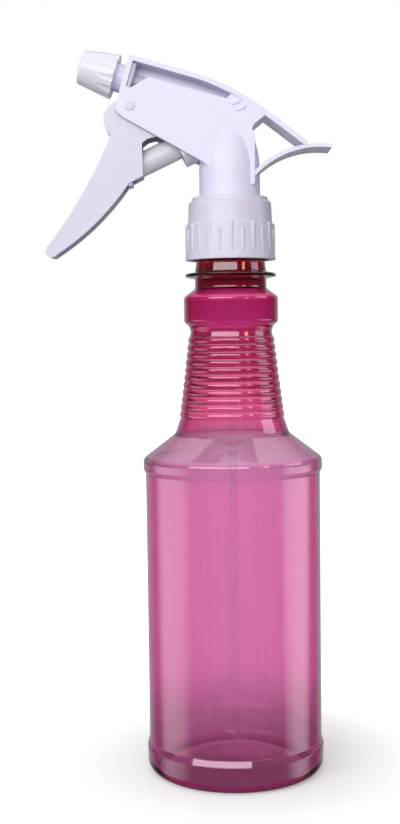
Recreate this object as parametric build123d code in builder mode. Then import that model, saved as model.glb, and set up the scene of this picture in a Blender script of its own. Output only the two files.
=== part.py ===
from build123d import *
import math
import os

# Trigger spray bottle, millimetres. +Z is up, the origin is the centre of the standing ring,
# and the nozzle points towards -X. The head is symmetrical about the XZ plane.

os.makedirs("parts", exist_ok=True)

# Bottle
BODY_RADIUS = 32.0
SHOULDER_RADIUS = 32.85
BASE_BEAD_RADIUS = 32.7
PANEL_BOTTOM = 12.2
PANEL_TOP = 110.2
WALL = 0.8
NECK_WALL = 1.9
THICKENING_START = 116.0
STANDING_RING_RADIUS = 27.0
PUSH_UP_HEIGHT = 5.5
GRIP_BOTTOM = 130.4
GRIP_TOP = 160.1
GRIP_BOTTOM_RADIUS = 18.9
GRIP_TOP_RADIUS = 15.1
GRIP_RIBS = 11
GRIP_RIB_HEIGHT = 0.45
BAND_RADIUS = 17.15
BAND_BOTTOM = 165.4
BAND_TOP = 174.3
NECK_RADIUS = 13.0
SUPPORT_RING_RADIUS = 16.5
SUPPORT_RING_HEIGHT = 181.4
FINISH_RADIUS = 12.5
FINISH_BORE = 10.8
FINISH_BOTTOM = 183.4
NECK_TOP = 203.0

# Neck thread, shared by the bottle and the collar
NECK_LEAD = 25.4 / 6
NECK_TURNS = 1.5
NECK_THREAD_BOTTOM = 191.0
NECK_THREAD_DEPTH = 1.05
THREAD_FOOT_WIDTH = 1.8
THREAD_CREST_WIDTH = 0.8
COLLAR_THREAD_DROP = 2.05

# Collar
COLLAR_BOTTOM = 187.6
COLLAR_TOP = 210.2
COLLAR_BORE = 14.05
COLLAR_FOOT_RADIUS = 16.3
COLLAR_STEP_HEIGHT = 200.4
COLLAR_STEP_RADIUS = 15.75
COLLAR_CAP_RADIUS = 15.3
COLLAR_RING_RADIUS = 13.9
COLLAR_LEDGE = 206.45
COLLAR_HOLE = 11.25
COLLAR_RIBS = 24
COLLAR_RIB_BOTTOM = 190.4
COLLAR_RIB_LONG = 9.6
COLLAR_RIB_SHORT = 7.4
COLLAR_RIB_RADIUS = 0.8

# Neck gasket and the foot of the tower
GASKET_THICKNESS = 1.5
GASKET_BORE = 10.9
GASKET_RADIUS = 13.3
TOWER_FLANGE_RADIUS = 12.6
TOWER_FLANGE_THICKNESS = 1.8
TOWER_RADIUS = 11.0
TOWER_CAVITY_RADIUS = 9.4
TOWER_CAVITY_TOP = 218.0
DOME_START = 219.0
DOME_HEIGHT = 22.4
INLET_BOSS_RADIUS = 4.6

# Head shell
HEAD_HALF_WIDTH = 8.3
PLATE_INNER = 7.0
STRIP_THICKNESS = 1.7
STRIP_BEND_RADIUS = 82.0
SHELL_EDGE_RADIUS = 0.25
FRONT_PLATE_THICKNESS = 1.8
FRONT_PLATE_HEIGHT = 14.0
POST_RADIUS = 0.95
POST_HEIGHT = 9.0
BUMP_LENGTH = 4.0
BUMP_WIDTH = 1.9
BUMP_HEIGHT = 0.4
WEB_HALF_WIDTH = 1.0

# Pump, on an axis that climbs towards the tower
PUMP_TILT = 25.0
PUMP_MOUTH = (-18.64, 0, 228.61)
PUMP_BORE = 5.8
PUMP_OUTER = 6.9
PUMP_FLANGE_RADIUS = 7.9
PUMP_FLANGE_LENGTH = 2.6
PUMP_CHAMBER_LENGTH = 16.0
PUMP_END_WALL = 1.5
HOUSING_RADIUS = 8.0
INLET_PASSAGE_X = -2.6
PASSAGE_RADIUS = 1.1
OUTLET_PORT_DISTANCE = 15.0

# Piston and its spring
ROD_RADIUS = 4.3
NOSE_RADIUS = 6.0
PISTON_NOSE_DISTANCE = -20.3
PISTON_HEAD_START = 1.6
PISTON_HEAD_END = 8.0
PISTON_HEAD_RADIUS = 5.2
SEAL_CLEARANCE = 0.05
SPRING_POCKET_RADIUS = 3.7
SPRING_POCKET_DEPTH = 8.0
SPRING_WIRE = 0.7
SEAL_BORE = 4.4
SEAL_LENGTH = 1.8

# Trigger
PIVOT = (-35.5, 0, 242.4)
STUD_RADIUS = 1.65
PIVOT_CLEARANCE = 0.05
TRIGGER_HALF_WIDTH = 6.4
TRIGGER_WALL = 1.6
PAD_THICKNESS = 1.6
PAD_GAP = 0.15
PAD_LENGTH = 11.0

# Nozzle, on an axis that rises towards the front
NOZZLE_TILT = 17.0
NOZZLE_ROOT = (-37.5, 0, 253.0)
BARREL_RADIUS = 5.05
BARREL_END = 13.1
DISCHARGE_TUBE_RADIUS = 3.0
DISCHARGE_BORE = 1.2
DISCHARGE_LENGTH = 30.6
VALVE_BORE = 2.5
VALVE_SEAT = -2.3
CAP_REAR = 3.5
CAP_FRONT = 16.5
CAP_REAR_RADIUS = 8.2
CAP_FRONT_RADIUS = 6.05
CAP_BORE = 5.2
CAP_INNER_FACE = 14.4
CAP_FLUTES = 12
ORIFICE_RADIUS = 0.4
NOZZLE_LEAD = 2.5
NOZZLE_TURNS = 1.8
NOZZLE_THREAD_START = 6.9
NOZZLE_THREAD_DEPTH = 0.5
NOZZLE_SEAL_START = 4.3
NOZZLE_THREAD_FOOT = 0.9
NOZZLE_THREAD_CREST = 0.4
NOZZLE_SEAL_LENGTH = 1.6
SEAL_GROOVE_RADIUS = 6.0
FLUTE_RADIUS = 2.4
FLUTE_LEAN = 4.6
FLUTE_CENTRE = 10.05
SPINNER_START = 7.0

# Valves and tube
VALVE_CHAMBER_RADIUS = 3.0
VALVE_CHAMBER_TOP = 216.4
BOSS_BOTTOM = 208.0
INLET_PASSAGE_TOP = 231.0
OUTLET_RISER = 10.5
SEAT_BORE = 1.2
INLET_BALL_RADIUS = 1.98
OUTLET_BALL_RADIUS = 1.9
INLET_SEAT = 211.6
CONNECTOR_TOP = 213.0
BALL_GAP = 0.03
TUBE_RADIUS = 2.0
TUBE_BORE = 1.3
TUBE_BOTTOM = 9.5
TUBE_TOP = 204.0

gasket_top = NECK_TOP + GASKET_THICKNESS
tower_flange_top = gasket_top + TOWER_FLANGE_THICKNESS
tilt = math.radians(PUMP_TILT)
pump_axis = Vector(math.cos(tilt), 0, math.sin(tilt))
pump_up = Vector(-math.sin(tilt), 0, math.cos(tilt))
pump_plane = Plane(origin=PUMP_MOUTH, x_dir=(0, 1, 0), z_dir=pump_axis)
rise = math.radians(NOZZLE_TILT)
nozzle_axis = Vector(-math.cos(rise), 0, math.sin(rise))
nozzle_plane = Plane(origin=NOZZLE_ROOT, x_dir=(0, 1, 0), z_dir=nozzle_axis)


def pump_point(distance, height=0.0):
    """A point in the XZ plane, measured along the pump axis from its mouth and square to it."""
    return Vector(*PUMP_MOUTH) + pump_axis * distance + pump_up * height


def export(piece, name):
    """Label a finished piece and write its STEP file."""
    piece.part.label = name
    export_step(piece.part, f"parts/{name}.step")


def thread_ridge(plane, start, foot_radius, depth, lead, turns, foot_width, crest_width):
    """A helical ridge on a cylinder about plane's Z; a negative depth points inwards."""
    foot = foot_width / 2
    crest = crest_width / 2
    base = plane.offset(start)
    overlap = math.copysign(0.2, depth)
    corners = [
        (foot_radius - overlap, -foot),
        (foot_radius + depth, -crest),
        (foot_radius + depth, crest),
        (foot_radius - overlap, foot),
    ]
    if depth < 0:
        corners.reverse()
    with BuildPart() as ridge:
        with BuildLine():
            path = Helix(pitch=lead, height=lead * turns, radius=foot_radius)
        with BuildSketch(Plane.XZ):
            with BuildLine():
                Polyline(*corners, close=True)
            make_face()
        sweep(path=path, is_frenet=True)
    return ridge.part.moved(base.location)


def coil(plane, start, length, mean_radius, wire_radius, turns):
    """A round wire spring along plane's Z."""
    with BuildPart() as spring:
        with BuildLine():
            path = Helix(pitch=length / turns, height=length, radius=mean_radius)
        with BuildSketch(Plane(origin=path @ 0, z_dir=path % 0)):
            Circle(wire_radius)
        sweep(path=path, is_frenet=True)
    return spring.part.moved(plane.offset(start).location)


# Bottle: one blown wall with a ribbed grip, plus the thick moulded finish and its thread
rib_pitch = (GRIP_TOP - GRIP_BOTTOM) / GRIP_RIBS
rib_taper = (GRIP_BOTTOM_RADIUS - GRIP_TOP_RADIUS) / GRIP_RIBS
rib_slant = math.hypot(rib_pitch, rib_taper)


def wall_at(height):
    """The wall's thickness at a height: blowing thins it away from the neck."""
    share = (height - THICKENING_START) / (SUPPORT_RING_HEIGHT - THICKENING_START)
    return WALL + (NECK_WALL - WALL) * max(0.0, share)


def bottle_profile(inside):
    """The bottle's half section from the axis to the neck: its outer face, or its inner one."""

    def edge(radius, height):
        return (radius - inside * wall_at(height), height)

    foot = inside * WALL
    rim = STANDING_RING_RADIUS - foot
    with BuildSketch(Plane.XZ) as profile:
        with BuildLine():
            ThreePointArc(
                (0, PUSH_UP_HEIGHT + foot),
                (STANDING_RING_RADIUS * 0.55, PUSH_UP_HEIGHT * 0.78 + foot),
                (rim, foot),
            )
            FilletPolyline(
                (rim, foot),
                (BASE_BEAD_RADIUS - 0.3 - foot, foot),
                edge(BASE_BEAD_RADIUS, 9.8),
                edge(BODY_RADIUS - 0.1, PANEL_BOTTOM),
                edge(BODY_RADIUS, PANEL_TOP),
                edge(SHOULDER_RADIUS, PANEL_TOP + 1.6),
                edge(SHOULDER_RADIUS, 115.6),
                edge(20.9, 124.7),
                edge(19.6, 128.6),
                edge(GRIP_BOTTOM_RADIUS, GRIP_BOTTOM),
                radius=(4.0, 1.0, 0.8, 0.8, 1.0, 2.6, 3.6, 2.0),
            )
            for rib in range(GRIP_RIBS):
                low = edge(GRIP_BOTTOM_RADIUS - rib * rib_taper, GRIP_BOTTOM + rib * rib_pitch)
                high = edge(
                    GRIP_BOTTOM_RADIUS - (rib + 1) * rib_taper, GRIP_BOTTOM + (rib + 1) * rib_pitch
                )
                crest_out = GRIP_RIB_HEIGHT * rib_pitch / rib_slant
                crest_up = GRIP_RIB_HEIGHT * rib_taper / rib_slant
                crest = ((low[0] + high[0]) / 2 + crest_out, (low[1] + high[1]) / 2 + crest_up)
                ThreePointArc(low, crest, high)
            FilletPolyline(
                edge(GRIP_TOP_RADIUS, GRIP_TOP),
                edge(14.8, 161.8),
                edge(15.4, 163.7),
                edge(BAND_RADIUS, BAND_BOTTOM),
                edge(BAND_RADIUS, BAND_TOP),
                edge(NECK_RADIUS, 177.4),
                edge(NECK_RADIUS, SUPPORT_RING_HEIGHT),
                radius=(0.6, 1.0, 1.2, 1.6, 1.4),
            )
            Polyline(
                edge(NECK_RADIUS, SUPPORT_RING_HEIGHT),
                (0, SUPPORT_RING_HEIGHT),
                (0, PUSH_UP_HEIGHT + foot),
            )
        make_face()
    return profile.sketch


with BuildPart() as bottle:
    add(bottle_profile(False))
    revolve(axis=Axis.Z)
    with BuildSketch(Plane.XZ):
        with BuildLine():
            FilletPolyline(
                (0, SUPPORT_RING_HEIGHT - 0.6),
                (NECK_RADIUS, SUPPORT_RING_HEIGHT - 0.6),
                (SUPPORT_RING_RADIUS, SUPPORT_RING_HEIGHT + 0.2),
                (SUPPORT_RING_RADIUS, SUPPORT_RING_HEIGHT + 1.3),
                (NECK_RADIUS, FINISH_BOTTOM),
                (FINISH_RADIUS, FINISH_BOTTOM + 3.6),
                (FINISH_RADIUS, NECK_TOP),
                (0, NECK_TOP),
                radius=(0.3, 0.4, 0.4, 0.3, 0.5, 0.5),
            )
            Line((0, NECK_TOP), (0, SUPPORT_RING_HEIGHT - 0.6))
        make_face()
    revolve(axis=Axis.Z)
    add(bottle_profile(True))
    revolve(axis=Axis.Z, mode=Mode.SUBTRACT)
    with Locations((0, 0, 168)):
        Cylinder(FINISH_BORE, 40, align=(Align.CENTER, Align.CENTER, Align.MIN), mode=Mode.SUBTRACT)
    add(
        thread_ridge(
            Plane.XY,
            NECK_THREAD_BOTTOM,
            FINISH_RADIUS,
            NECK_THREAD_DEPTH,
            NECK_LEAD,
            NECK_TURNS,
            THREAD_FOOT_WIDTH,
            THREAD_CREST_WIDTH,
        )
    )
export(bottle, "bottle")

# Neck gasket
with BuildPart() as neck_gasket:
    with BuildSketch(Plane.XY.offset(NECK_TOP)):
        Circle(GASKET_RADIUS)
        Circle(GASKET_BORE, mode=Mode.SUBTRACT)
    extrude(amount=GASKET_THICKNESS)
export(neck_gasket, "neck_gasket")

# Collar: screws on the neck and holds the head's flange down
with BuildPart() as collar:
    with BuildSketch(Plane.XZ):
        with BuildLine():
            FilletPolyline(
                (COLLAR_BORE, COLLAR_BOTTOM),
                (COLLAR_FOOT_RADIUS + 0.1, COLLAR_BOTTOM),
                (COLLAR_FOOT_RADIUS + 0.1, COLLAR_BOTTOM + 1.3),
                (COLLAR_FOOT_RADIUS - 0.1, COLLAR_BOTTOM + 1.5),
                (COLLAR_STEP_RADIUS, COLLAR_STEP_HEIGHT),
                (COLLAR_CAP_RADIUS, COLLAR_STEP_HEIGHT + 0.5),
                (COLLAR_CAP_RADIUS - 0.35, 208.7),
                (COLLAR_RING_RADIUS, 208.8),
                (COLLAR_RING_RADIUS - 0.2, COLLAR_TOP),
                (COLLAR_HOLE, COLLAR_TOP),
                radius=(0.3, 0.1, 0.1, 0.3, 0.2, 1.1, 0.1, 0.4),
            )
            Polyline(
                (COLLAR_HOLE, COLLAR_TOP),
                (COLLAR_HOLE, COLLAR_LEDGE),
                (COLLAR_BORE, COLLAR_LEDGE),
                (COLLAR_BORE, COLLAR_BOTTOM),
            )
        make_face()
    revolve(axis=Axis.Z)
    for first, length in ((0, COLLAR_RIB_LONG), (1, COLLAR_RIB_SHORT)):
        rib_top = COLLAR_RIB_BOTTOM + length
        with PolarLocations(COLLAR_STEP_RADIUS - 0.22, COLLAR_RIBS // 2, start_angle=first * 15):
            with Locations((0, 0, COLLAR_RIB_BOTTOM)):
                Cylinder(COLLAR_RIB_RADIUS, length, align=(Align.CENTER, Align.CENTER, Align.MIN))
            with Locations((0, 0, rib_top)):
                Sphere(COLLAR_RIB_RADIUS)
    with BuildSketch(Plane.XY.offset(COLLAR_BOTTOM)):
        Circle(COLLAR_BORE)
    extrude(amount=COLLAR_LEDGE - COLLAR_BOTTOM, mode=Mode.SUBTRACT)
    add(
        thread_ridge(
            Plane.XY,
            NECK_THREAD_BOTTOM - COLLAR_THREAD_DROP,
            COLLAR_BORE,
            -NECK_THREAD_DEPTH,
            NECK_LEAD,
            NECK_TURNS,
            THREAD_FOOT_WIDTH,
            THREAD_CREST_WIDTH,
        )
    )
export(collar, "collar")

# Sprayer body: tower, side plates, top strip with its tail, front plate, discharge tube, housing
strip_start = (-34.4, 260.1)
strip_bend = (1.0, 249.7)
strip_end = (28.0, 229.0)


def strip_points(drop):
    """The corners of the top strip's line, drop below its outer face."""
    return (
        (strip_start[0] - drop * 0.28, strip_start[1] - drop),
        (strip_bend[0] - drop * 0.47, strip_bend[1] - drop),
        (strip_end[0] - drop * 0.61, strip_end[1] - drop * 0.79),
    )


with BuildPart() as sprayer_body:
    # side plates, joined to the strip behind the long window
    with BuildSketch(Plane.XZ):
        with BuildLine():
            FilletPolyline(
                (-38.2, 250.2),
                (-40.9, 240.9),
                (-38.0, 238.4),
                (-9.4, 222.1),
                (0, 214.0),
                (9.0, 214.0),
                (9.0, 231.0),
                (7.7, 234.4),
                (13.0, 238.6),
                (7.0, 243.0),
                (0.6, 246.2),
                (-0.9, 244.5),
                (-28.4, 252.4),
                (-35.0, 248.7),
                (-36.6, 249.2),
                radius=(0.6, 2.0, 2.0, 1.0, 1.0, 1.0, 1.2, 2.6, 0.5, 2.0, 0.3, 0.8, 0.6, 1.0, 0.4),
                close=True,
            )
        make_face()
    extrude(amount=HEAD_HALF_WIDTH, both=True)
    with BuildSketch(Plane.XZ):
        with BuildLine():
            Polyline((-50, 252), (-50, 200), (-4.0, 200), (-4.0, 252), close=True)
        make_face()
    extrude(amount=PLATE_INNER, both=True, mode=Mode.SUBTRACT)
    # top strip
    with BuildSketch(Plane.XZ):
        with BuildLine():
            top = FilletPolyline(*strip_points(0), radius=STRIP_BEND_RADIUS)
            under = FilletPolyline(*strip_points(STRIP_THICKNESS), radius=STRIP_BEND_RADIUS)
            Line(top @ 0, under @ 0)
            Line(top @ 1, under @ 1)
        make_face()
    extrude(amount=HEAD_HALF_WIDTH, both=True)
    # eased side outlines: rounding one long straight edge rounds the whole run it belongs to
    shell_rims = edges().group_by(Axis.Y)
    straight_rims = (shell_rims[0] + shell_rims[-1]).filter_by(GeomType.LINE)
    fillet(straight_rims.filter_by(lambda rim: 21.0 < rim.length < 28.0), SHELL_EDGE_RADIUS)
    # tail blade, from the tower to the tip
    with BuildSketch(Plane.XZ):
        with BuildLine():
            ThreePointArc((8.0, 218.3), (20.6, 226.4), (36.9, 228.1))
            Line((36.9, 228.1), (36.4, 226.8))
            ThreePointArc((36.4, 226.8), (21.2, 225.2), (9.0, 217.2))
            Line((9.0, 217.2), (8.0, 218.3))
        make_face()
    extrude(amount=HEAD_HALF_WIDTH - 0.3, both=True)
    # front plate, square to the spray axis, and a round post behind it on each side
    with BuildSketch(nozzle_plane):
        with Locations((0, -0.7)):
            RectangleRounded(2 * HEAD_HALF_WIDTH, FRONT_PLATE_HEIGHT, 1.2)
    extrude(amount=-FRONT_PLATE_THICKNESS)
    for side in (-1, 1):
        post_middle = (side * (HEAD_HALF_WIDTH - 2.2), -1.0, -FRONT_PLATE_THICKNESS - 0.6)
        with Locations(nozzle_plane.location * Location(post_middle, (90, 0, 0))):
            Cylinder(POST_RADIUS, POST_HEIGHT)
    # soft bumps at the rear end of each window
    with BuildSketch(Plane.XZ):
        with Locations((2.2, 243.4), (4.0, 241.2)):
            SlotOverall(BUMP_LENGTH, BUMP_WIDTH, rotation=18)
    extrude(amount=HEAD_HALF_WIDTH + BUMP_HEIGHT, both=True)
    bump_rims = edges(Select.LAST).group_by(Axis.Y)
    fillet(bump_rims[0] + bump_rims[-1], BUMP_HEIGHT - 0.05)
    # centre web between the plates, over the trigger
    with BuildSketch(Plane.XZ):
        with BuildLine():
            Polyline(
                (-34.6, 249.2),
                (-34.2, 258.6),
                (-12.0, 252.0),
                (2.0, 246.6),
                (2.0, 236.0),
                (-20.0, 243.0),
                close=True,
            )
        make_face()
    extrude(amount=WEB_HALF_WIDTH, both=True)
    # discharge tube
    with BuildSketch(nozzle_plane):
        Circle(DISCHARGE_TUBE_RADIUS)
    extrude(amount=-DISCHARGE_LENGTH - 1.6)
    # nozzle barrel, stepped down where it carries its thread
    with BuildSketch(nozzle_plane):
        Circle(BARREL_RADIUS)
    extrude(amount=NOZZLE_THREAD_START - 0.3)
    with BuildSketch(nozzle_plane):
        Circle(BARREL_RADIUS - NOZZLE_THREAD_DEPTH)
    extrude(amount=BARREL_END)
    # pump housing
    with BuildSketch(pump_plane.offset(PUMP_FLANGE_LENGTH)):
        Circle(HOUSING_RADIUS)
    extrude(amount=PUMP_CHAMBER_LENGTH + PUMP_END_WALL + 1.5 - PUMP_FLANGE_LENGTH)
    # tower with its domed top and foot flange
    with BuildSketch(Plane.XZ):
        with BuildLine():
            Polyline(
                (0, gasket_top),
                (TOWER_FLANGE_RADIUS, gasket_top),
                (TOWER_FLANGE_RADIUS, tower_flange_top),
                (TOWER_RADIUS, tower_flange_top),
                (TOWER_RADIUS, DOME_START),
            )
            Spline(
                (TOWER_RADIUS, DOME_START),
                (TOWER_RADIUS * math.cos(math.pi / 4), DOME_START + DOME_HEIGHT * math.sin(math.pi / 4)),
                (0, DOME_START + DOME_HEIGHT),
                tangents=((0, 1), (-1, 0)),
            )
            Line((0, DOME_START + DOME_HEIGHT), (0, gasket_top))
        make_face()
    revolve(axis=Axis.Z)
    # hollow of the tower, leaving the inlet boss on its axis
    with BuildSketch(Plane.XY.offset(gasket_top)):
        Circle(TOWER_CAVITY_RADIUS)
    extrude(amount=TOWER_CAVITY_TOP - gasket_top, mode=Mode.SUBTRACT)
    with BuildSketch(Plane.XY.offset(BOSS_BOTTOM)):
        Circle(INLET_BOSS_RADIUS)
    extrude(amount=TOWER_CAVITY_TOP - BOSS_BOTTOM + 1.0)
    # valve chamber, and the passage up to the pump
    with BuildSketch(Plane.XY.offset(BOSS_BOTTOM)):
        Circle(VALVE_CHAMBER_RADIUS)
    extrude(amount=VALVE_CHAMBER_TOP - BOSS_BOTTOM, mode=Mode.SUBTRACT)
    with BuildSketch(Plane.XY.offset(VALVE_CHAMBER_TOP - 1.0)):
        with Locations((INLET_PASSAGE_X, 0)):
            Circle(PASSAGE_RADIUS)
    extrude(amount=INLET_PASSAGE_TOP - VALVE_CHAMBER_TOP, mode=Mode.SUBTRACT)
    # pump socket and the clear way in front of it
    with BuildSketch(pump_plane):
        Circle(PUMP_OUTER)
    extrude(amount=PUMP_CHAMBER_LENGTH + PUMP_END_WALL, mode=Mode.SUBTRACT)
    with BuildSketch(pump_plane):
        Circle(HOUSING_RADIUS)
    extrude(amount=PUMP_FLANGE_LENGTH, mode=Mode.SUBTRACT)
    # discharge passage, from the pump to the nozzle
    with BuildSketch(Plane(origin=pump_point(OUTLET_PORT_DISTANCE), x_dir=(0, 1, 0), z_dir=pump_up)):
        Circle(PASSAGE_RADIUS)
    extrude(amount=OUTLET_RISER, mode=Mode.SUBTRACT)
    with BuildSketch(nozzle_plane.offset(-DISCHARGE_LENGTH)):
        Circle(DISCHARGE_BORE)
    extrude(amount=DISCHARGE_LENGTH, mode=Mode.SUBTRACT)
    with BuildSketch(nozzle_plane.offset(VALVE_SEAT)):
        Circle(DISCHARGE_BORE)
    with BuildSketch(nozzle_plane.offset(VALVE_SEAT + VALVE_BORE - DISCHARGE_BORE)):
        Circle(VALVE_BORE)
    loft(mode=Mode.SUBTRACT)
    with BuildSketch(nozzle_plane.offset(VALVE_SEAT + VALVE_BORE - DISCHARGE_BORE)):
        Circle(VALVE_BORE)
    extrude(amount=BARREL_END + 5.0, mode=Mode.SUBTRACT)
    # holes for the trigger's studs
    with Locations(Location(PIVOT, (90, 0, 0))):
        Cylinder(STUD_RADIUS + PIVOT_CLEARANCE, 3 * HEAD_HALF_WIDTH, mode=Mode.SUBTRACT)
    add(
        thread_ridge(
            nozzle_plane,
            NOZZLE_THREAD_START + 1.0,
            BARREL_RADIUS - NOZZLE_THREAD_DEPTH,
            NOZZLE_THREAD_DEPTH,
            NOZZLE_LEAD,
            NOZZLE_TURNS,
            NOZZLE_THREAD_FOOT,
            NOZZLE_THREAD_CREST,
        )
    )
export(sprayer_body, "sprayer_body")

# Pump cylinder, pressed into the housing
with BuildPart() as pump_cylinder:
    with BuildSketch(pump_plane):
        Circle(PUMP_FLANGE_RADIUS)
        Rectangle(2 * PUMP_OUTER - 0.1, 4 * PUMP_OUTER, mode=Mode.INTERSECT)
    extrude(amount=PUMP_FLANGE_LENGTH)
    with BuildSketch(pump_plane):
        Circle(PUMP_OUTER)
    extrude(amount=PUMP_CHAMBER_LENGTH + PUMP_END_WALL)
    with BuildSketch(pump_plane):
        Circle(PUMP_BORE)
    extrude(amount=PUMP_CHAMBER_LENGTH, mode=Mode.SUBTRACT)
    with BuildSketch(Plane.XY.offset(VALVE_CHAMBER_TOP)):
        with Locations((INLET_PASSAGE_X, 0)):
            Circle(PASSAGE_RADIUS)
    extrude(amount=INLET_PASSAGE_TOP - VALVE_CHAMBER_TOP, mode=Mode.SUBTRACT)
    with BuildSketch(Plane(origin=pump_point(OUTLET_PORT_DISTANCE), x_dir=(0, 1, 0), z_dir=pump_up)):
        Circle(PASSAGE_RADIUS)
    extrude(amount=PUMP_OUTER + 1.0, mode=Mode.SUBTRACT)
export(pump_cylinder, "pump_cylinder")

# Piston: visible rod with a domed nose, and a grooved head that carries two seals
wiper_place = PISTON_HEAD_START + 0.8
cup_place = PISTON_HEAD_END - 2.2
with BuildPart() as piston:
    with BuildSketch(Plane.XZ):
        with BuildLine():
            nose_rim = NOSE_RADIUS - math.sqrt(NOSE_RADIUS**2 - ROD_RADIUS**2)
            nose_mid = NOSE_RADIUS - math.sqrt(NOSE_RADIUS**2 - (ROD_RADIUS / 2) ** 2)
            ThreePointArc(
                (0, PISTON_NOSE_DISTANCE),
                (ROD_RADIUS / 2, PISTON_NOSE_DISTANCE + nose_mid),
                (ROD_RADIUS, PISTON_NOSE_DISTANCE + nose_rim),
            )
            Polyline(
                (ROD_RADIUS, PISTON_NOSE_DISTANCE + nose_rim),
                (ROD_RADIUS, PISTON_HEAD_START),
                (PISTON_HEAD_RADIUS, PISTON_HEAD_START),
                (PISTON_HEAD_RADIUS, wiper_place),
                (SEAL_BORE, wiper_place),
                (SEAL_BORE, wiper_place + SEAL_LENGTH),
                (PISTON_HEAD_RADIUS, wiper_place + SEAL_LENGTH),
                (PISTON_HEAD_RADIUS, cup_place),
                (SEAL_BORE, cup_place),
                (SEAL_BORE, cup_place + SEAL_LENGTH),
                (PISTON_HEAD_RADIUS, cup_place + SEAL_LENGTH),
                (PISTON_HEAD_RADIUS, PISTON_HEAD_END),
                (SPRING_POCKET_RADIUS, PISTON_HEAD_END),
                (SPRING_POCKET_RADIUS, PISTON_HEAD_END - SPRING_POCKET_DEPTH),
                (0, PISTON_HEAD_END - SPRING_POCKET_DEPTH),
                (0, PISTON_NOSE_DISTANCE),
            )
        make_face()
    revolve(axis=Axis.Z)
piston.part = piston.part.moved(pump_plane.location)
export(piston, "piston")


def piston_seal(name, place, lip_out):
    """A seal ring in one of the piston head's grooves, with its lip flared at one end."""
    with BuildPart() as ring:
        with BuildSketch(Plane.XZ):
            with BuildLine():
                Polyline(
                    (SEAL_BORE, 0),
                    (PISTON_HEAD_RADIUS, 0),
                    (PUMP_BORE - SEAL_CLEARANCE, lip_out - 0.3),
                    (PUMP_BORE - SEAL_CLEARANCE, lip_out + 0.3),
                    (PISTON_HEAD_RADIUS, SEAL_LENGTH),
                    (SEAL_BORE, SEAL_LENGTH),
                    close=True,
                )
            make_face()
        revolve(axis=Axis.Z)
    ring.part = ring.part.moved(pump_plane.offset(place).location)
    export(ring, name)


piston_seal("piston_wiper_seal", wiper_place, 0.35)
piston_seal("piston_cup_seal", cup_place, SEAL_LENGTH - 0.35)

# Return spring, from the piston's pocket to the end of the pump
spring_start = PISTON_HEAD_END - SPRING_POCKET_DEPTH + SPRING_WIRE
with BuildPart() as return_spring:
    add(
        coil(
            pump_plane,
            spring_start,
            PUMP_CHAMBER_LENGTH - SPRING_WIRE - spring_start,
            SPRING_POCKET_RADIUS - SPRING_WIRE,
            SPRING_WIRE / 2,
            6,
        )
    )
export(return_spring, "return_spring")

# Trigger: a channel open at the back, with a pad for the piston and a stud on each side
pad_face = PISTON_NOSE_DISTANCE - PAD_GAP
with BuildPart() as trigger:
    with BuildSketch(Plane.XZ):
        with BuildLine():
            lobe = ThreePointArc((-38.9, 244.6), (-44.9, 238.6), (-42.5, 232.4))
            ThreePointArc(lobe @ 1, (-53.4, 211.0), (-65.9, 193.0))
            ThreePointArc((-65.9, 193.0), (-66.2, 190.0), (-62.8, 189.9))
            ThreePointArc((-62.8, 189.9), (-47.6, 201.9), (-36.3, 215.2))
            blade_back = Polyline((-36.3, 215.2), (-31.2, 217.9), (-31.4, 229.4), (-29.6, 230.9))
            Polyline(blade_back @ 1, (-26.3, 231.8), (-26.6, 234.6), (-30.2, 239.8))
            ThreePointArc((-30.2, 239.8), (-33.2, 246.6), (-38.9, 244.6))
        make_face()
    extrude(amount=TRIGGER_HALF_WIDTH, both=True)
    with BuildSketch(Plane.XZ):
        with BuildLine():
            inner_lobe = ThreePointArc((-36.0, 248.0), (-42.9, 238.4), (-40.6, 232.6))
            ThreePointArc(inner_lobe @ 1, (-51.6, 211.2), (-63.8, 193.4))
            Polyline((-63.8, 193.4), (-62.0, 188.0), (-20.0, 200.0), (-20.0, 248.0), inner_lobe @ 0)
        make_face()
    extrude(amount=TRIGGER_HALF_WIDTH - TRIGGER_WALL, both=True, mode=Mode.SUBTRACT)
    # pad behind the piston's nose, tied to the front wall by a rib
    with BuildSketch(pump_plane.offset(pad_face - PAD_THICKNESS)):
        Rectangle(2 * TRIGGER_HALF_WIDTH - TRIGGER_WALL, PAD_LENGTH)
    extrude(amount=PAD_THICKNESS)
    with BuildSketch(Plane.XZ):
        with BuildLine():
            Polyline((-49.0, 218.0), (-43.9, 228.5), (-38.8, 221.6), (-38.4, 217.6), close=True)
        make_face()
    extrude(amount=0.8, both=True)
    with Locations(Location(PIVOT, (90, 0, 0))):
        Cylinder(STUD_RADIUS, 2 * (HEAD_HALF_WIDTH + 0.35))
        Cylinder(STUD_RADIUS + 1.6, 2 * TRIGGER_HALF_WIDTH)
export(trigger, "trigger")

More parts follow.
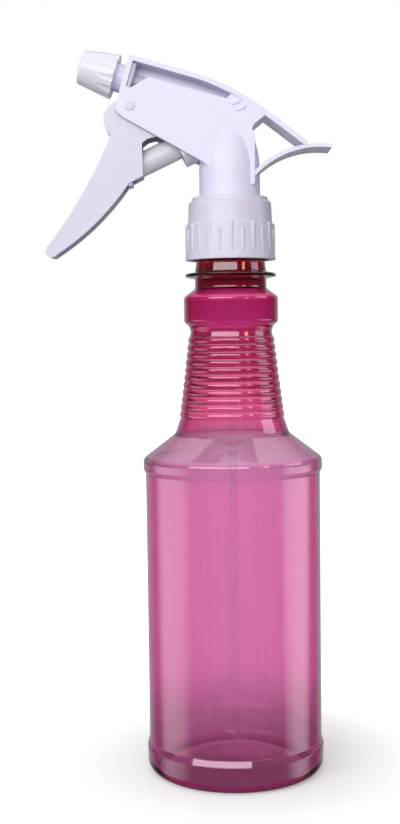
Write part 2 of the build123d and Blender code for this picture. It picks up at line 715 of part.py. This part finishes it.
# Nozzle cap: tapered, fluted at the rear, threaded on the barrel
with BuildPart() as nozzle_cap:
    with BuildSketch(Plane.XZ):
        with BuildLine():
            FilletPolyline(
                (0, CAP_FRONT),
                (CAP_FRONT_RADIUS, CAP_FRONT),
                (CAP_REAR_RADIUS, CAP_REAR),
                (0, CAP_REAR),
                radius=(0.9, 0.25),
            )
            Line((0, CAP_REAR), (0, CAP_FRONT))
        make_face()
    revolve(axis=Axis.Z)
    for flute in range(CAP_FLUTES):
        turn = (flute + 0.5) * 360 / CAP_FLUTES
        flute_end = Location((0, 0, CAP_REAR), (0, 0, turn)) * Location((FLUTE_CENTRE, 0, 0), (0, -FLUTE_LEAN, 0))
        with Locations(flute_end):
            Cylinder(FLUTE_RADIUS, 2 * CAP_FRONT, mode=Mode.SUBTRACT)
    with BuildSketch(Plane.XY.offset(CAP_REAR)):
        Circle(CAP_BORE)
    extrude(amount=CAP_INNER_FACE - CAP_REAR, mode=Mode.SUBTRACT)
    with BuildSketch(Plane.XY.offset(NOZZLE_SEAL_START - 0.05)):
        Circle(SEAL_GROOVE_RADIUS)
    extrude(amount=NOZZLE_SEAL_LENGTH + 0.1, mode=Mode.SUBTRACT)
    with BuildSketch(Plane.XY.offset(CAP_INNER_FACE)):
        Circle(ORIFICE_RADIUS)
    extrude(amount=CAP_FRONT - CAP_INNER_FACE, mode=Mode.SUBTRACT)
    with BuildSketch(Plane.XY.offset(CAP_FRONT - 0.7)):
        Circle(ORIFICE_RADIUS)
    with BuildSketch(Plane.XY.offset(CAP_FRONT)):
        Circle(ORIFICE_RADIUS + 1.1)
    loft(mode=Mode.SUBTRACT)
    add(
        thread_ridge(
            Plane.XY,
            NOZZLE_THREAD_START + 1.0 + NOZZLE_LEAD / 2,
            CAP_BORE,
            -NOZZLE_THREAD_DEPTH,
            NOZZLE_LEAD,
            NOZZLE_TURNS - 0.5,
            NOZZLE_THREAD_FOOT,
            NOZZLE_THREAD_CREST,
        )
    )
nozzle_cap.part = nozzle_cap.part.moved(nozzle_plane.location)
export(nozzle_cap, "nozzle_cap")

# Nozzle seal: a ring that rides in the cap's groove and wipes the barrel
with BuildPart() as nozzle_seal:
    with BuildSketch(nozzle_plane.offset(NOZZLE_SEAL_START)):
        Circle(SEAL_GROOVE_RADIUS - SEAL_CLEARANCE)
        Circle(BARREL_RADIUS + SEAL_CLEARANCE, mode=Mode.SUBTRACT)
    extrude(amount=NOZZLE_SEAL_LENGTH)
export(nozzle_seal, "nozzle_seal")

# Spinner: swirl insert pressed in the front of the barrel
with BuildPart() as spinner:
    with BuildSketch(nozzle_plane.offset(SPINNER_START)):
        Circle(VALVE_BORE)
        with PolarLocations(VALVE_BORE, 3):
            Rectangle(1.4, 1.0, mode=Mode.SUBTRACT)
    extrude(amount=BARREL_END - SPINNER_START)
    with BuildSketch(nozzle_plane.offset(BARREL_END)):
        Circle(0.9)
    extrude(amount=-0.5, mode=Mode.SUBTRACT)
export(spinner, "spinner")

# Outlet valve: a ball held on its seat by a light spring
outlet_ball_place = VALVE_SEAT - DISCHARGE_BORE + OUTLET_BALL_RADIUS * math.sqrt(2) + BALL_GAP
with BuildPart() as outlet_ball:
    with Locations(nozzle_plane.offset(outlet_ball_place)):
        Sphere(OUTLET_BALL_RADIUS)
export(outlet_ball, "outlet_ball")

outlet_spring_start = outlet_ball_place + OUTLET_BALL_RADIUS + 0.1
with BuildPart() as outlet_spring:
    add(
        coil(
            nozzle_plane,
            outlet_spring_start,
            SPINNER_START - 0.35 - outlet_spring_start,
            1.6,
            0.2,
            4,
        )
    )
export(outlet_spring, "outlet_spring")

# Tube connector: plugs the tower, seats the inlet ball and grips the dip tube
with BuildPart() as tube_connector:
    with BuildSketch(Plane.XZ):
        with BuildLine():
            Polyline(
                (TUBE_RADIUS, 196.0),
                (TUBE_RADIUS + 1.2, 196.0),
                (TUBE_RADIUS + 1.2, gasket_top),
                (TOWER_CAVITY_RADIUS, gasket_top),
                (TOWER_CAVITY_RADIUS, gasket_top + 2.0),
                (VALVE_CHAMBER_RADIUS, gasket_top + 2.0),
                (VALVE_CHAMBER_RADIUS, CONNECTOR_TOP),
                (SEAT_BORE + CONNECTOR_TOP - INLET_SEAT, CONNECTOR_TOP),
                (SEAT_BORE, INLET_SEAT),
                (SEAT_BORE, TUBE_TOP),
                (TUBE_RADIUS, TUBE_TOP),
                close=True,
            )
        make_face()
    revolve(axis=Axis.Z)
    # vent hole through the flange
    with Locations((7.0, 0, gasket_top)):
        Cylinder(0.5, 10, mode=Mode.SUBTRACT)
export(tube_connector, "tube_connector")

# Inlet ball
inlet_ball_place = INLET_SEAT - SEAT_BORE + INLET_BALL_RADIUS * math.sqrt(2) + BALL_GAP
with BuildPart() as inlet_ball:
    with Locations((0, 0, inlet_ball_place)):
        Sphere(INLET_BALL_RADIUS)
export(inlet_ball, "inlet_ball")

# Dip tube, with its lower end cut at an angle
with BuildPart() as dip_tube:
    with BuildSketch(Plane.XY.offset(TUBE_BOTTOM)):
        Circle(TUBE_RADIUS)
        Circle(TUBE_BORE, mode=Mode.SUBTRACT)
    extrude(amount=TUBE_TOP - TUBE_BOTTOM)
    split(bisect_by=Plane(origin=(0, 0, TUBE_BOTTOM + TUBE_RADIUS), z_dir=(1, 0, 1)), keep=Keep.TOP)
export(dip_tube, "dip_tube")
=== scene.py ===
import math

import bpy
from mathutils import Matrix, Vector


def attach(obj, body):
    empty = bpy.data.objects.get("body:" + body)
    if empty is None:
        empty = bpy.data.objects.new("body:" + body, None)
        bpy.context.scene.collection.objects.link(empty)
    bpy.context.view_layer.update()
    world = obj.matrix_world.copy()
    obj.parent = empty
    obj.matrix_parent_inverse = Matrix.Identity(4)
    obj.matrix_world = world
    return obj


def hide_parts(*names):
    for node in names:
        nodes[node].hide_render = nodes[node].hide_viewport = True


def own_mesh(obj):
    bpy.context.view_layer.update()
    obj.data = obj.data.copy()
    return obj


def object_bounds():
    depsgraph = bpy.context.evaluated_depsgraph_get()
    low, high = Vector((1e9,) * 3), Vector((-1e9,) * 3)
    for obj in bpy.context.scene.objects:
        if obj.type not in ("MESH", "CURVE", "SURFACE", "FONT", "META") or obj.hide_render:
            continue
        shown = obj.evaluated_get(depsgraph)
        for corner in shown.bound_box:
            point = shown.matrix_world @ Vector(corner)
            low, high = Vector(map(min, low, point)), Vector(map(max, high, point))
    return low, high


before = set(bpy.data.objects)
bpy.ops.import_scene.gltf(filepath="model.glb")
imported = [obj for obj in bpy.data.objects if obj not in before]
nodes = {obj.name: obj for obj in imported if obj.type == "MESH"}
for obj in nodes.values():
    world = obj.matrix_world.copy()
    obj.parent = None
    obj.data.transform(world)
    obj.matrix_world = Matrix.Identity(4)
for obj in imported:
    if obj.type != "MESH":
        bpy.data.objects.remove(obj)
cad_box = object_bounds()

# Trigger spray bottle with a tinted see-through bottle and a white pump head.
# Metres, +Z up, the nozzle points towards -X, and the camera looks along +Y.

# The camera; lens and sensor in millimetres.
SENSOR = 36.0
LENS = 56.14
CAMERA_PLACE = Vector((-0.0118, -0.471, 0.1611))
CAMERA_PITCH = math.radians(3.49)
CAMERA_ROLL = math.radians(0.72)

# The floor glows so that it looks as white as the surround, less so where the contact shadow falls.
FLOOR_SIZE = 12.0
FLOOR_GLOW_NEAR = 0.2
FLOOR_GLOW_FAR = 0.95
FLOOR_SHADOW_REACH = 0.16
FLOOR_BOUNCE = (0.35, 0.34, 0.36)

# Surround light: the ambient part falls on matt surfaces, the gloss part shows in reflections only.
AMBIENT_SIDE = Vector((-0.6, -0.5, 0.6))
AMBIENT_LOW = 0.25
AMBIENT_HIGH = 0.8
GLOSS_LOW = 0.05
CEILING_GLOSS = 1.1
BACKDROP_GLOSS = 0.4
RIGHT_BAND_GLOSS = 1.8
LEFT_BAND_GLOSS = 1.4
# Where each glossy zone starts and reaches full strength, as a share of the direction's Z, Y or X.
CEILING_REACH = (0.3, 1.0)
BACKDROP_REACH = (0.5, 0.98)
RIGHT_BAND_REACH = (0.84, 0.99)
LEFT_BAND_REACH = (-0.8, -0.99)
BELOW_HORIZON = (-0.02, -0.1)

# The point on the neck that every light is turned towards.
AIM = Vector((0, 0, 0.17))

# The bottle: light lost inside the wall, and a surface tint that changes with height: deeper towards the
# thick neck, and at the top, just under the collar, painted shade where the collar shadows the neck.
WALL_IOR = 1.5
WALL_ABSORPTION = (0.80, 0.0, 0.53)
WALL_DENSITY = 1150.0
TINT_AND_COLLAR_SHADE_STOPS = (
    (0.104, (0.82, 0.90, 0.83)),
    (0.114, (0.71, 0.92, 0.78)),
    (0.122, (0.76, 0.82, 0.74)),
    (0.132, (0.88, 0.76, 0.70)),
    (0.160, (0.88, 0.76, 0.70)),
    (0.167, (1.0, 1.0, 0.98)),
    (0.174, (1.0, 0.95, 0.92)),
    # painted shade: the neck is darkened here, just under the collar, where the collar shadows it
    (0.181, (0.52, 0.22, 0.18)),
)


# ---------------------------------------------------------------- material helpers

def new_material(name):
    """An empty node material, with its tree and output."""
    material = bpy.data.materials.new(name)
    material.use_nodes = True
    tree = material.node_tree
    tree.nodes.clear()
    output = tree.nodes.new("ShaderNodeOutputMaterial")
    return material, tree, output


def link(tree, source, socket, target, target_socket):
    """Join one named output to one named input."""
    tree.links.new(source.outputs[socket], target.inputs[target_socket])


def object_noise(tree, scale, detail=4.0, stretch=(1.0, 1.0, 1.0)):
    """Noise in the object's own coordinates, stretched along the axes."""
    coordinates = tree.nodes.new("ShaderNodeTexCoord")
    mapping = tree.nodes.new("ShaderNodeMapping")
    mapping.inputs["Scale"].default_value = stretch
    noise = tree.nodes.new("ShaderNodeTexNoise")
    noise.inputs["Scale"].default_value = scale
    noise.inputs["Detail"].default_value = detail
    link(tree, coordinates, "Object", mapping, "Vector")
    link(tree, mapping, "Vector", noise, "Vector")
    return noise


def remap(tree, source, socket, low, high):
    """A value from 0 to 1 spread over low to high."""
    node = tree.nodes.new("ShaderNodeMapRange")
    node.inputs["To Min"].default_value = low
    node.inputs["To Max"].default_value = high
    link(tree, source, socket, node, "Value")
    return node


def colour_between(tree, source, socket, first, second):
    """A colour that runs from first to second as the source runs from 0 to 1."""
    ramp = tree.nodes.new("ShaderNodeValToRGB")
    ramp.color_ramp.elements[0].color = (*first, 1)
    ramp.color_ramp.elements[1].color = (*second, 1)
    link(tree, source, socket, ramp, "Fac")
    return ramp


def height_colours(tree, place, stops):
    """A colour that changes with height; each stop is a height in metres and its colour."""
    lowest, highest = stops[0][0], stops[-1][0]
    height = tree.nodes.new("ShaderNodeMapRange")
    height.inputs["From Min"].default_value = lowest
    height.inputs["From Max"].default_value = highest
    link(tree, place, "Z", height, "Value")
    ramp = tree.nodes.new("ShaderNodeValToRGB")
    ramp.color_ramp.interpolation = "EASE"
    elements = ramp.color_ramp.elements
    elements[0].color = (*stops[0][1], 1)
    elements[1].color = (*stops[-1][1], 1)
    for level, colour in stops[1:-1]:
        element = elements.new((level - lowest) / (highest - lowest))
        element.color = (*colour, 1)
    link(tree, height, "Result", ramp, "Fac")
    return ramp


def moulded_plastic(name, dark, light, roughness, grain=0.02, translucence=0.0):
    """Injection-moulded plastic: cloudy colour, uneven gloss and a faint ripple."""
    material, tree, output = new_material(name)
    shader = tree.nodes.new("ShaderNodeBsdfPrincipled")
    shader.inputs["IOR"].default_value = 1.49
    shader.inputs["Subsurface Weight"].default_value = translucence
    shader.inputs["Subsurface Radius"].default_value = (1.0, 0.8, 0.9)
    shader.inputs["Subsurface Scale"].default_value = 0.002
    clouds = object_noise(tree, 45.0)
    tint = colour_between(tree, clouds, "Fac", dark, light)
    link(tree, tint, "Color", shader, "Base Color")
    gloss = object_noise(tree, 160.0, 6.0)
    spread = remap(tree, gloss, "Fac", roughness * 0.75, roughness * 1.25)
    link(tree, spread, "Result", shader, "Roughness")
    ripple = object_noise(tree, 90.0, 2.0)
    bump = tree.nodes.new("ShaderNodeBump")
    bump.inputs["Strength"].default_value = grain
    bump.inputs["Distance"].default_value = 0.001
    link(tree, ripple, "Fac", bump, "Height")
    link(tree, bump, "Normal", shader, "Normal")
    link(tree, shader, "BSDF", output, "Surface")
    return material


def multiply_colours(tree, first, second):
    """The product of two colour sockets."""
    node = tree.nodes.new("ShaderNodeMix")
    node.data_type = "RGBA"
    node.blend_type = "MULTIPLY"
    node.inputs["Factor"].default_value = 1.0
    # a Mix node has its colour sockets after those for numbers and vectors
    colour_a, colour_b, colour_result = node.inputs[6], node.inputs[7], node.outputs[2]
    tree.links.new(first, colour_a)
    tree.links.new(second, colour_b)
    return colour_result


def clear_tube(name):
    """Thin extruded tube, nearly clear with a waxy bloom."""
    material, tree, output = new_material(name)
    shader = tree.nodes.new("ShaderNodeBsdfPrincipled")
    shader.inputs["IOR"].default_value = 1.02
    shader.inputs["Transmission Weight"].default_value = 1.0
    bloom = object_noise(tree, 120.0, 3.0, (1.0, 1.0, 0.1))
    tint = colour_between(tree, bloom, "Fac", (0.98, 0.98, 0.985), (1.0, 1.0, 1.0))
    spread = remap(tree, bloom, "Fac", 0.03, 0.08)
    link(tree, tint, "Color", shader, "Base Color")
    link(tree, spread, "Result", shader, "Roughness")
    link(tree, shader, "BSDF", output, "Surface")
    return material


def polished_steel(name):
    """Bright drawn steel for balls and springs."""
    material, tree, output = new_material(name)
    shader = tree.nodes.new("ShaderNodeBsdfPrincipled")
    shader.inputs["Metallic"].default_value = 1.0
    marks = object_noise(tree, 900.0, 3.0)
    tint = colour_between(tree, marks, "Fac", (0.52, 0.53, 0.56), (0.68, 0.69, 0.71))
    spread = remap(tree, marks, "Fac", 0.16, 0.3)
    link(tree, tint, "Color", shader, "Base Color")
    link(tree, spread, "Result", shader, "Roughness")
    link(tree, shader, "BSDF", output, "Surface")
    return material


def tinted_bottle(name):
    """Blown tinted plastic: clear gloss wall whose colour deepens with its thickness, with a surface tint
    by height that holds painted shade under the collar.
    """
    material, tree, output = new_material(name)
    shader = tree.nodes.new("ShaderNodeBsdfPrincipled")
    shader.inputs["IOR"].default_value = WALL_IOR
    shader.inputs["Transmission Weight"].default_value = 1.0
    shader.inputs["Coat Weight"].default_value = 1.0
    shader.inputs["Coat Roughness"].default_value = 0.04
    streaks = object_noise(tree, 60.0, 3.0, (1.0, 1.0, 0.15))
    spread = remap(tree, streaks, "Fac", 0.03, 0.1)
    link(tree, spread, "Result", shader, "Roughness")
    tint = colour_between(tree, streaks, "Fac", (0.95, 0.94, 0.95), (0.99, 0.98, 0.99))
    coordinates = tree.nodes.new("ShaderNodeTexCoord")
    place = tree.nodes.new("ShaderNodeSeparateXYZ")
    link(tree, coordinates, "Object", place, "Vector")
    # the height tint deepens towards the neck and holds painted shade under the collar
    shade = height_colours(tree, place, TINT_AND_COLLAR_SHADE_STOPS)
    shaded = multiply_colours(tree, tint.outputs["Color"], shade.outputs["Color"])
    tree.links.new(shaded, shader.inputs["Base Color"])
    bump = tree.nodes.new("ShaderNodeBump")
    bump.inputs["Strength"].default_value = 0.05
    bump.inputs["Distance"].default_value = 0.001
    link(tree, streaks, "Fac", bump, "Height")
    link(tree, bump, "Normal", shader, "Normal")
    link(tree, shader, "BSDF", output, "Surface")
    absorption = tree.nodes.new("ShaderNodeVolumeAbsorption")
    absorption.inputs["Color"].default_value = (*WALL_ABSORPTION, 1)
    absorption.inputs["Density"].default_value = WALL_DENSITY
    link(tree, absorption, "Volume", output, "Volume")
    return material


# ---------------------------------------------------------------- finishes of the CAD pieces

shell_white = moulded_plastic(
    "shell_white", dark=(0.71, 0.705, 0.85), light=(0.75, 0.745, 0.89), roughness=0.34, translucence=0.1
)
trigger_white = moulded_plastic(
    "trigger_white", dark=(0.645, 0.63, 0.755), light=(0.685, 0.67, 0.79), roughness=0.36, translucence=0.1
)
collar_white = moulded_plastic(
    "collar_white", dark=(0.63, 0.61, 0.73), light=(0.69, 0.67, 0.79), roughness=0.32, translucence=0.1
)
cap_white = moulded_plastic(
    "cap_white", dark=(0.74, 0.735, 0.82), light=(0.79, 0.785, 0.87), roughness=0.22, translucence=0.1
)
pump_white = moulded_plastic(
    "pump_white", dark=(0.68, 0.67, 0.72), light=(0.74, 0.73, 0.78), roughness=0.3, translucence=0.2
)
tube_clear = clear_tube("tube_clear")
seal_rubber = moulded_plastic("seal_rubber", dark=(0.5, 0.52, 0.55), light=(0.58, 0.6, 0.62), roughness=0.5)
gasket_foam = moulded_plastic(
    "gasket_foam", dark=(0.66, 0.66, 0.63), light=(0.74, 0.74, 0.7), roughness=0.7, grain=0.2
)
steel = polished_steel("steel")
bottle_pet = tinted_bottle("bottle_pet")

finishes = {
    "bottle": bottle_pet,
    "collar": collar_white,
    "sprayer_body": shell_white,
    "trigger": trigger_white,
    "nozzle_cap": cap_white,
    "pump_cylinder": pump_white,
    "piston": pump_white,
    "tube_connector": pump_white,
    "spinner": pump_white,
    "dip_tube": tube_clear,
    "neck_gasket": gasket_foam,
    "nozzle_seal": seal_rubber,
    "piston_wiper_seal": seal_rubber,
    "piston_cup_seal": seal_rubber,
    "inlet_ball": steel,
    "outlet_ball": steel,
    "outlet_spring": steel,
    "return_spring": steel,
}

for node_name, finish in finishes.items():
    mesh = nodes[node_name].data
    mesh.materials.clear()
    mesh.materials.append(finish)


# ---------------------------------------------------------------- springs drawn as their own copies

def coil(node_name, body):
    """A spring drawn in place of its CAD piece, as its own copy carried by the given body."""
    source = nodes[node_name]
    piece = bpy.data.objects.new(f"{node_name}_coil", source.data.copy())
    piece.matrix_world = source.matrix_world.copy()
    bpy.context.collection.objects.link(piece)
    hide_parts(node_name)
    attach(piece, body)
    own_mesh(piece)


coil(
    "return_spring", "sprayer",
)
coil(
    "outlet_spring", "sprayer",
)


# ---------------------------------------------------------------- floor, light and camera

def seen_through(tree):
    """1 for a ray that comes straight from the lens or through clear plastic, 0 for other light."""
    path = tree.nodes.new("ShaderNodeLightPath")
    either = tree.nodes.new("ShaderNodeMath")
    either.operation = "MAXIMUM"
    tree.links.new(path.outputs["Is Camera Ray"], either.inputs[0])
    tree.links.new(path.outputs["Is Transmission Ray"], either.inputs[1])
    return either


def stage_floor():
    """A wide white floor with a soft contact shadow, which throws little light back up."""
    bpy.ops.mesh.primitive_plane_add(size=FLOOR_SIZE, location=(0, 0, cad_box[0].z))
    floor = bpy.context.object
    floor.name = "stage_floor"
    material, tree, output = new_material("floor_white")
    pale = tree.nodes.new("ShaderNodeBsdfDiffuse")
    paper = object_noise(tree, 3.0)
    tint = colour_between(tree, paper, "Fac", (0.90, 0.90, 0.90), (0.93, 0.93, 0.93))
    link(tree, tint, "Color", pale, "Color")
    glow = tree.nodes.new("ShaderNodeEmission")
    coordinates = tree.nodes.new("ShaderNodeTexCoord")
    distance = tree.nodes.new("ShaderNodeVectorMath")
    distance.operation = "LENGTH"
    link(tree, coordinates, "Object", distance, "Vector")
    strength = tree.nodes.new("ShaderNodeMapRange")
    strength.interpolation_type = "SMOOTHSTEP"
    strength.inputs["From Min"].default_value = cad_box[1].y
    strength.inputs["From Max"].default_value = FLOOR_SHADOW_REACH
    strength.inputs["To Min"].default_value = FLOOR_GLOW_NEAR
    strength.inputs["To Max"].default_value = FLOOR_GLOW_FAR
    link(tree, distance, "Value", strength, "Value")
    link(tree, strength, "Result", glow, "Strength")
    lit = tree.nodes.new("ShaderNodeAddShader")
    link(tree, pale, "BSDF", lit, 0)
    tree.links.new(glow.outputs["Emission"], lit.inputs[1])
    dull = tree.nodes.new("ShaderNodeBsdfDiffuse")
    dull.inputs["Color"].default_value = (*FLOOR_BOUNCE, 1)
    choice = tree.nodes.new("ShaderNodeMixShader")
    link(tree, seen_through(tree), "Value", choice, "Fac")
    tree.links.new(dull.outputs["BSDF"], choice.inputs[1])
    tree.links.new(lit.outputs["Shader"], choice.inputs[2])
    link(tree, choice, "Shader", output, "Surface")
    floor.data.materials.append(material)
    floor.visible_glossy = False


def area_light(name, azimuth, height, distance, width, tall, power, colour, only_gloss=True):
    """A soft rectangle aimed at the bottle's neck; azimuth 0 is the camera's side, minus is the left.

    With only_gloss it shows in reflections and throws no light on matt surfaces."""
    angle = math.radians(azimuth)
    place = Vector((math.sin(angle) * distance, -math.cos(angle) * distance, height))
    data = bpy.data.lights.new(name, "AREA")
    data.shape = "RECTANGLE"
    data.size = width
    data.size_y = tall
    data.energy = power
    data.color = colour
    lamp = bpy.data.objects.new(name, data)
    lamp.location = place
    lamp.rotation_euler = (AIM - place).to_track_quat("-Z", "Y").to_euler()
    lamp.visible_diffuse = not only_gloss
    bpy.context.collection.objects.link(lamp)
    return lamp


def falloff(tree, source, reach, levels):
    """A smooth step between two levels as the source goes over its reach."""
    node = tree.nodes.new("ShaderNodeMapRange")
    node.interpolation_type = "SMOOTHSTEP"
    node.inputs["From Min"].default_value = reach[0]
    node.inputs["From Max"].default_value = reach[1]
    node.inputs["To Min"].default_value = levels[0]
    node.inputs["To Max"].default_value = levels[1]
    tree.links.new(source, node.inputs["Value"])
    return node.outputs["Result"]


def arithmetic(tree, operation, first, second):
    """One Math node over two sockets."""
    node = tree.nodes.new("ShaderNodeMath")
    node.operation = operation
    tree.links.new(first, node.inputs[0])
    tree.links.new(second, node.inputs[1])
    return node.outputs["Value"]


def white_world():
    """A white surround to look at, which lights the object more from the left and front."""
    world = bpy.data.worlds.new("studio")
    world.use_nodes = True
    tree = world.node_tree
    background = tree.nodes["Background"]
    background.inputs["Color"].default_value = (1, 1, 1, 1)
    coordinates = tree.nodes.new("ShaderNodeTexCoord")
    facing = tree.nodes.new("ShaderNodeVectorMath")
    facing.operation = "DOT_PRODUCT"
    facing.inputs[1].default_value = AMBIENT_SIDE.normalized()
    link(tree, coordinates, "Generated", facing, 0)
    ambient = tree.nodes.new("ShaderNodeMapRange")
    ambient.inputs["From Min"].default_value = -1.0
    ambient.inputs["To Min"].default_value = AMBIENT_LOW
    ambient.inputs["To Max"].default_value = AMBIENT_HIGH
    link(tree, facing, "Value", ambient, "Value")
    place = tree.nodes.new("ShaderNodeSeparateXYZ")
    link(tree, coordinates, "Generated", place, "Vector")
    ceiling = falloff(tree, place.outputs["Z"], CEILING_REACH, (GLOSS_LOW, CEILING_GLOSS))
    backdrop = falloff(tree, place.outputs["Y"], BACKDROP_REACH, (0.0, BACKDROP_GLOSS))
    right_band = falloff(tree, place.outputs["X"], RIGHT_BAND_REACH, (0.0, RIGHT_BAND_GLOSS))
    left_band = falloff(tree, place.outputs["X"], LEFT_BAND_REACH, (0.0, LEFT_BAND_GLOSS))
    below = falloff(tree, place.outputs["Z"], BELOW_HORIZON, (0.0, 1.0))
    bands = arithmetic(tree, "MULTIPLY", arithmetic(tree, "ADD", right_band, left_band), below)
    far_and_high = arithmetic(tree, "MAXIMUM", ceiling, backdrop)
    gloss = arithmetic(tree, "MAXIMUM", far_and_high, bands)
    path = tree.nodes.new("ShaderNodeLightPath")
    around = tree.nodes.new("ShaderNodeMix")
    link(tree, path, "Is Glossy Ray", around, "Factor")
    link(tree, ambient, "Result", around, "A")
    tree.links.new(gloss, around.inputs["B"])
    strength = tree.nodes.new("ShaderNodeMix")
    link(tree, seen_through(tree), "Value", strength, "Factor")
    link(tree, around, "Result", strength, "A")
    strength.inputs["B"].default_value = 1.0
    link(tree, strength, "Result", background, "Strength")
    bpy.context.scene.world = world


def place_camera():
    """The camera, from its place, pitch and roll."""
    forward = Vector((0, math.cos(CAMERA_PITCH), -math.sin(CAMERA_PITCH)))
    level_right = Vector((1, 0, 0))
    level_up = level_right.cross(forward)
    right = math.cos(CAMERA_ROLL) * level_right - math.sin(CAMERA_ROLL) * level_up
    up = math.sin(CAMERA_ROLL) * level_right + math.cos(CAMERA_ROLL) * level_up
    turn = Matrix((right, up, -forward)).transposed()
    data = bpy.data.cameras.new("camera")
    data.sensor_width = SENSOR
    data.lens = LENS
    camera = bpy.data.objects.new("camera", data)
    camera.matrix_world = Matrix.Translation(CAMERA_PLACE) @ turn.to_4x4()
    bpy.context.collection.objects.link(camera)
    bpy.context.scene.camera = camera


stage_floor()
white_world()
area_light(
    "softbox_front", azimuth=-20, height=0.52, distance=1.1, width=1.8, tall=0.45,
    power=10.5, colour=(1.0, 0.98, 1.0), only_gloss=False
)
area_light(
    "window_right", azimuth=86, height=0.47, distance=0.9, width=0.5, tall=0.4,
    power=1.6, colour=(0.80, 0.78, 1.0)
)
area_light(
    "warm_spot", azimuth=42, height=0.42, distance=0.8, width=0.12, tall=0.24,
    power=0.7, colour=(1.0, 0.45, 0.36)
)
place_camera()

scene = bpy.context.scene
scene.view_settings.view_transform = "Standard"
scene.view_settings.look = "None"
